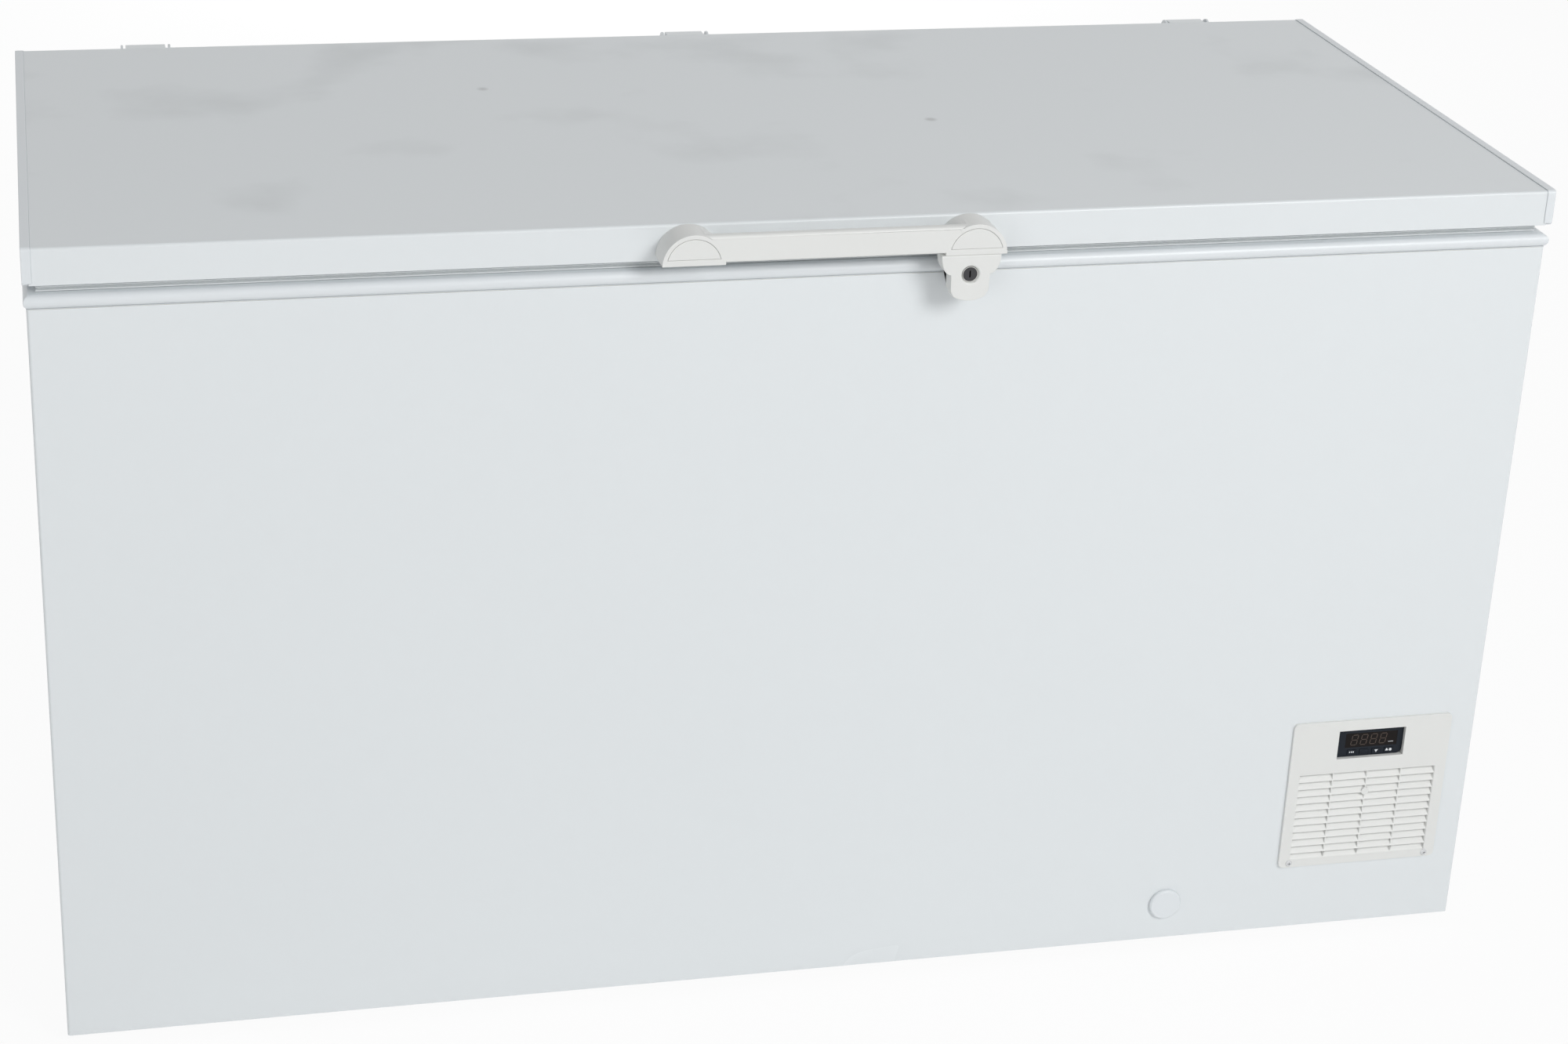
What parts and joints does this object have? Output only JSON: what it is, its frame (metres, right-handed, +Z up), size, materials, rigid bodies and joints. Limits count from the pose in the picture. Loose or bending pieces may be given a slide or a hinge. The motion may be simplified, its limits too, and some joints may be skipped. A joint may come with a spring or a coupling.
{
  "type": "chest freezer",
  "caption": "White chest freezer with a flat hinged lid, bar handle with key lock, louvred front grille with a digital controller, and a front drain.",
  "frame": {"origin": "on the floor, under the middle of the whole outline", "axes": "+X to the right along the freezer, +Y to the rear where the hinges are, +Z up"},
  "size_m": [1.5, 0.72, 0.85],
  "materials": {
    "white_steel": "gloss",
    "galvanised": "satin",
    "insulation": "matte",
    "tub_metal": "satin",
    "tube_metal": "satin",
    "rim_plastic": "satin",
    "black_plastic": "matte",
    "black_steel": "satin",
    "lamination": "matte",
    "black_rubber": "matte",
    "zinc": "satin",
    "dark_steel": "satin",
    "fan_plastic": "satin",
    "copper": "satin",
    "white_plastic": "satin",
    "display_glass": "gloss",
    "circuit_board": "matte",
    "seal_rubber": "satin"
  },
  "bodies": {
    "cabinet": {"outer_wrapper": "white_steel", "rear_panel": "white_steel", "base_pan": "galvanised", "bay_bulkhead": "galvanised", "cabinet_foam": "insulation", "inner_liner": "tub_metal", "evaporator_tube": "tube_metal", "top_rim": "rim_plastic", "glide_feet": "black_plastic", "compressor_tray": "galvanised", "compressor_lower_shell": "black_steel", "compressor_upper_shell": "black_steel", "compressor_pump": "lamination", "compressor_grommets": "black_rubber", "compressor_bolts": "zinc", "relay_cover": "black_plastic", "condenser_tube": "black_steel", "condenser_wires": "black_steel", "condenser_brackets": "galvanised", "fan_shroud": "black_plastic", "fan_motor": "dark_steel", "filter_drier": "copper", "suction_tube": "copper", "discharge_tube": "copper", "capillary_tube": "copper", "front_grille": "white_plastic", "controller_case": "black_plastic", "display_window": "display_glass", "control_board": "circuit_board", "temperature_probe": "white_plastic", "drain_tube": "white_plastic", "rear_bay_cover": "galvanised", "terminal_box": "black_plastic", "cord_gland": "black_plastic", "lock_strike": "zinc", "hinge_bases": "white_steel", "hinge_pins": "zinc", "hinge_springs": "dark_steel", "cabinet_screws": "zinc"},
    "lid": {"lid_skin": "white_steel", "lid_cap_left": "rim_plastic", "lid_cap_right": "rim_plastic", "lid_foam": "insulation", "lid_liner": "rim_plastic", "lid_gasket": "seal_rubber", "hinge_leaves": "white_steel", "lid_screws": "zinc", "handle": "white_plastic", "handle_covers": "white_plastic", "lock_housing": "white_plastic"},
    "lock_barrel": {"lock_cylinder": "dark_steel", "lock_cam": "zinc"},
    "set_button": {"button_set": "black_plastic"},
    "blank_button": {"button_blank": "black_plastic"},
    "down_button": {"button_down": "black_plastic"},
    "up_button": {"button_up": "black_plastic"},
    "drain_plug": {"drain_cap": "white_plastic"},
    "floor_stopper": {"drain_stopper": "black_rubber"},
    "fan": {"fan_blade": "fan_plastic"},
    "basket": {"wire_basket": "tub_metal"}
  },
  "joints": [
    {"name": "lid_hinge", "type": "hinge", "parent": "cabinet", "child": "lid", "pos_m": [0, 0.349, 0.837], "axis": [-1, 0, 0], "range_deg": [0, 80], "stiffness_Nm_per_rad": 30, "springref_deg": 106},
    {"name": "lock_turn", "type": "hinge", "parent": "lid", "child": "lock_barrel", "pos_m": [0.1324, -0.35, 0.799], "axis": [0, -1, 0], "range_deg": [0, 90]},
    {"name": "set_button_press", "type": "slide", "parent": "cabinet", "child": "set_button", "axis": [0, 1, 0], "range_m": [0, 0.0008], "stiffness_N_per_m": 600},
    {"name": "blank_button_press", "type": "slide", "parent": "cabinet", "child": "blank_button", "axis": [0, 1, 0], "range_m": [0, 0.0008], "stiffness_N_per_m": 600},
    {"name": "down_button_press", "type": "slide", "parent": "cabinet", "child": "down_button", "axis": [0, 1, 0], "range_m": [0, 0.0008], "stiffness_N_per_m": 600},
    {"name": "up_button_press", "type": "slide", "parent": "cabinet", "child": "up_button", "axis": [0, 1, 0], "range_m": [0, 0.0008], "stiffness_N_per_m": 600},
    {"name": "drain_cap_pull", "type": "slide", "parent": "cabinet", "child": "drain_plug", "axis": [0, -1, 0], "range_m": [0, 0.04]},
    {"name": "stopper_lift", "type": "slide", "parent": "cabinet", "child": "floor_stopper", "axis": [0, 0, 1], "range_m": [0, 0.06]},
    {"name": "fan_spin", "type": "hinge", "parent": "cabinet", "child": "fan", "pos_m": [0.6349, -0.233, 0.15], "axis": [0, 1, 0], "continuous": true},
    {"name": "basket_slide", "type": "slide", "parent": "cabinet", "child": "basket", "axis": [-1, 0, 0], "range_m": [0, 1.04]}
  ]
}
